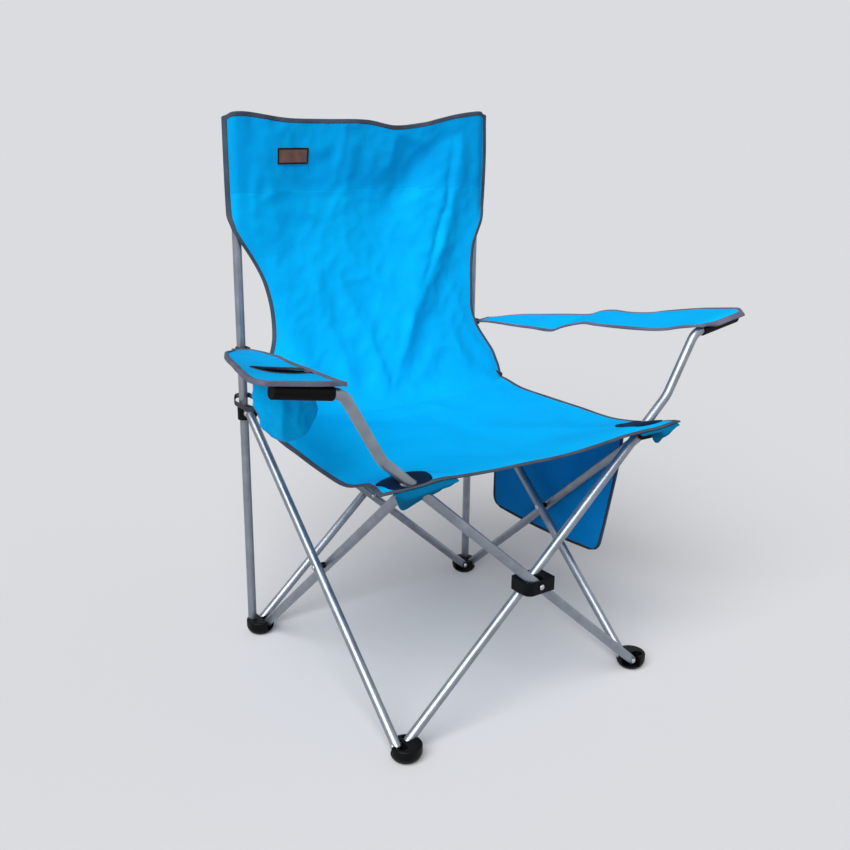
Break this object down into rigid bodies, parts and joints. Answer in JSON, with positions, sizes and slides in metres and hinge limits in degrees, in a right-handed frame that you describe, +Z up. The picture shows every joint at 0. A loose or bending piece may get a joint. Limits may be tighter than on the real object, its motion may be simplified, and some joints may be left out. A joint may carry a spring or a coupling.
{
  "type": "folding camp chair",
  "caption": "Folding camp chair: scissor legs with ball-like feet, sliders on two back uprights, sling seat and back, fabric armrests, a cup holder and a side pocket.",
  "frame": {"origin": "middle of the four feet, on the floor", "axes": "+Z up, -Y the way the sitter faces, +X the sitter's left"},
  "size_m": [0.9561, 0.552, 0.965],
  "materials": {
    "frame_tube": "satin metallic grey",
    "rivet_steel": "plain",
    "black_plastic": "moulded",
    "blue_fabric": "coated weave",
    "black_trim": "coated weave",
    "grey_webbing": "woven tape",
    "brown_patch": "matt"
  },
  "bodies": {
    "right_rear_leg": {"rear_right_foot": "black_plastic", "rear_right_foot_rivets": "rivet_steel", "right_upright": "frame_tube", "right_upright_cap": "black_plastic", "back_panel": "blue_fabric", "back_patch": "brown_patch"},
    "right_inner_tube": {"right_inner_tube": "frame_tube"},
    "right_outer_tube": {"right_outer_tube": "frame_tube", "right_crossing_rivet": "rivet_steel", "right_crossing_spacer": "black_plastic"},
    "front_right_foot": {"front_right_foot": "black_plastic", "front_right_foot_rivets": "rivet_steel"},
    "right_slider": {"right_slider": "black_plastic", "right_slider_rivets": "rivet_steel", "right_seat_strap": "grey_webbing"},
    "front_inner_tube": {"front_inner_tube": "frame_tube", "left_arm_sleeve": "black_plastic"},
    "front_hub": {"front_hub": "black_plastic", "hub_rivet": "rivet_steel"},
    "front_left_corner": {"left_corner_bracket": "black_plastic", "left_corner_rivets": "rivet_steel", "left_seat_patch": "black_trim", "left_corner_flap": "blue_fabric"},
    "rear_outer_tube": {"rear_outer_tube": "frame_tube", "rear_crossing_rivet": "rivet_steel", "rear_crossing_spacer": "black_plastic"},
    "rear_inner_tube": {"rear_inner_tube": "frame_tube"},
    "left_rear_leg": {"rear_left_foot": "black_plastic", "rear_left_foot_rivets": "rivet_steel", "left_upright": "frame_tube", "left_upright_cap": "black_plastic"},
    "left_slider": {"left_slider": "black_plastic", "left_slider_rivets": "rivet_steel", "left_seat_strap": "grey_webbing", "side_pocket": "blue_fabric"},
    "left_outer_tube": {"left_outer_tube": "frame_tube", "left_crossing_rivet": "rivet_steel", "left_crossing_spacer": "black_plastic"},
    "left_inner_tube": {"left_inner_tube": "frame_tube"},
    "front_left_foot": {"front_left_foot": "black_plastic", "front_left_foot_rivets": "rivet_steel"},
    "front_outer_tube": {"front_outer_tube": "frame_tube", "right_arm_sleeve": "black_plastic"},
    "front_right_corner": {"right_corner_bracket": "black_plastic", "right_corner_rivets": "rivet_steel", "right_seat_patch": "black_trim", "right_corner_flap": "blue_fabric"},
    "seat_rear": {"seat_rear": "blue_fabric"},
    "seat_front": {"seat_front": "blue_fabric"},
    "right_arm_loop": {"right_arm_loop": "grey_webbing"},
    "left_arm_loop": {"left_arm_loop": "grey_webbing"},
    "right_armrest": {"right_armrest": "blue_fabric", "cup_bag": "blue_fabric"},
    "left_armrest": {"left_armrest": "blue_fabric"}
  },
  "joints": [
    {"name": "fold", "type": "hinge", "parent": "right_rear_leg", "child": "right_inner_tube", "pos_m": [-0.239, 0.238, 0.022], "axis": [-1, 0, 0], "range_deg": [0, 44], "deforming": ["back_panel", "back_patch", "seat_rear", "seat_front", "right_armrest", "left_armrest", "cup_bag", "side_pocket", "right_seat_patch", "left_seat_patch", "right_corner_flap", "left_corner_flap", "right_seat_strap", "left_seat_strap", "right_arm_loop", "left_arm_loop"]},
    {"name": "right_crossing", "type": "hinge", "parent": "right_inner_tube", "child": "right_outer_tube", "pos_m": [-0.25, 0, 0.234], "axis": [1, 0, 0], "range_deg": [0, 88.5]},
    {"name": "front_right_foot_turn", "type": "hinge", "parent": "right_outer_tube", "child": "front_right_foot", "pos_m": [-0.261, -0.238, 0.022], "axis": [-1, 0, 0], "range_deg": [0, 44.5]},
    {"name": "right_slider_turn", "type": "hinge", "parent": "right_outer_tube", "child": "right_slider", "pos_m": [-0.261, 0.238, 0.446], "axis": [-1, 0, 0], "range_deg": [0, 44.5]},
    {"name": "front_inner_turn", "type": "hinge", "parent": "front_right_foot", "child": "front_inner_tube", "pos_m": [-0.238, -0.239, 0.022], "axis": [0, -1, 0], "range_deg": [0, 44.5]},
    {"name": "hub_turn", "type": "hinge", "parent": "front_inner_tube", "child": "front_hub", "pos_m": [0, -0.25, 0.234], "axis": [0, 1, 0], "range_deg": [0, 44.5]},
    {"name": "left_corner_turn", "type": "hinge", "parent": "front_inner_tube", "child": "front_left_corner", "pos_m": [0.238, -0.239, 0.446], "axis": [0, 1, 0], "range_deg": [0, 44.5]},
    {"name": "rear_outer_turn", "type": "hinge", "parent": "right_rear_leg", "child": "rear_outer_tube", "pos_m": [-0.238, 0.261, 0.022], "axis": [0, -1, 0], "range_deg": [0, 44.5]},
    {"name": "rear_crossing", "type": "hinge", "parent": "rear_outer_tube", "child": "rear_inner_tube", "pos_m": [0, 0.25, 0.234], "axis": [0, 1, 0], "range_deg": [0, 88.5]},
    {"name": "left_leg_turn", "type": "hinge", "parent": "rear_inner_tube", "child": "left_rear_leg", "pos_m": [0.238, 0.239, 0.022], "axis": [0, -1, 0], "range_deg": [0, 44.5]},
    {"name": "left_slider_turn", "type": "hinge", "parent": "rear_outer_tube", "child": "left_slider", "pos_m": [0.238, 0.261, 0.446], "axis": [0, 1, 0], "range_deg": [0, 44.5]},
    {"name": "left_outer_turn", "type": "hinge", "parent": "left_rear_leg", "child": "left_outer_tube", "pos_m": [0.261, 0.238, 0.022], "axis": [-1, 0, 0], "range_deg": [0, 44.5]},
    {"name": "left_crossing", "type": "hinge", "parent": "left_outer_tube", "child": "left_inner_tube", "pos_m": [0.25, 0, 0.234], "axis": [1, 0, 0], "range_deg": [0, 88.5]},
    {"name": "front_left_foot_turn", "type": "hinge", "parent": "left_inner_tube", "child": "front_left_foot", "pos_m": [0.239, -0.238, 0.022], "axis": [-1, 0, 0], "range_deg": [0, 44.5]},
    {"name": "front_outer_turn", "type": "hinge", "parent": "front_left_foot", "child": "front_outer_tube", "pos_m": [0.238, -0.261, 0.022], "axis": [0, 1, 0], "range_deg": [0, 44.5]},
    {"name": "right_corner_turn", "type": "hinge", "parent": "front_outer_tube", "child": "front_right_corner", "pos_m": [-0.238, -0.261, 0.446], "axis": [0, -1, 0], "range_deg": [0, 44.5]},
    {"name": "seat_rear_drop", "type": "hinge", "parent": "right_slider", "child": "seat_rear", "pos_m": [-0.25, 0.215, 0.446], "axis": [1, 0, 0], "range_deg": [0, 86.5]},
    {"name": "seat_crease", "type": "hinge", "parent": "seat_rear", "child": "seat_front", "pos_m": [-0.25, -0.052, 0.44], "axis": [-1, 0, 0], "range_deg": [0, 172.5]},
    {"name": "right_arm_turn", "type": "hinge", "parent": "right_arm_loop", "child": "right_armrest", "pos_m": [-0.261, 0.25, 0.56], "axis": [-1, 0, 0], "range_deg": [0, 59.5]},
    {"name": "left_arm_turn", "type": "hinge", "parent": "left_arm_loop", "child": "left_armrest", "pos_m": [0.261, 0.25, 0.56], "axis": [-1, 0, 0], "range_deg": [0, 59.5]},
    {"name": "right_loop_rise", "type": "slide", "parent": "right_rear_leg", "child": "right_arm_loop", "axis": [0, 0, 1], "range_m": [0, 0.141]},
    {"name": "left_loop_rise", "type": "slide", "parent": "left_rear_leg", "child": "left_arm_loop", "axis": [0, 0, 1], "range_m": [0, 0.141]}
  ],
  "couplings": [
    {"joint": "right_crossing", "follows": "fold", "ratio": 2},
    {"joint": "front_right_foot_turn", "follows": "fold", "ratio": 1},
    {"joint": "right_slider_turn", "follows": "fold", "ratio": 1},
    {"joint": "front_inner_turn", "follows": "fold", "ratio": 1},
    {"joint": "hub_turn", "follows": "fold", "ratio": 1},
    {"joint": "left_corner_turn", "follows": "fold", "ratio": 1},
    {"joint": "rear_outer_turn", "follows": "fold", "ratio": 1},
    {"joint": "rear_crossing", "follows": "fold", "ratio": 2},
    {"joint": "left_leg_turn", "follows": "fold", "ratio": 1},
    {"joint": "left_slider_turn", "follows": "fold", "ratio": 1},
    {"joint": "left_outer_turn", "follows": "fold", "ratio": 1},
    {"joint": "left_crossing", "follows": "fold", "ratio": 2},
    {"joint": "front_left_foot_turn", "follows": "fold", "ratio": 1},
    {"joint": "front_outer_turn", "follows": "fold", "ratio": 1},
    {"joint": "right_corner_turn", "follows": "fold", "ratio": 1},
    {"joint": "seat_rear_drop", "follows": "fold", "ratio": 1.9546},
    {"joint": "seat_crease", "follows": "fold", "ratio": 3.9091},
    {"joint": "right_arm_turn", "follows": "fold", "ratio": 1.3409},
    {"joint": "left_arm_turn", "follows": "fold", "ratio": 1.3409},
    {"joint": "right_loop_rise", "follows": "fold", "m_per_rad": 0.1823},
    {"joint": "left_loop_rise", "follows": "fold", "m_per_rad": 0.1823}
  ]
}
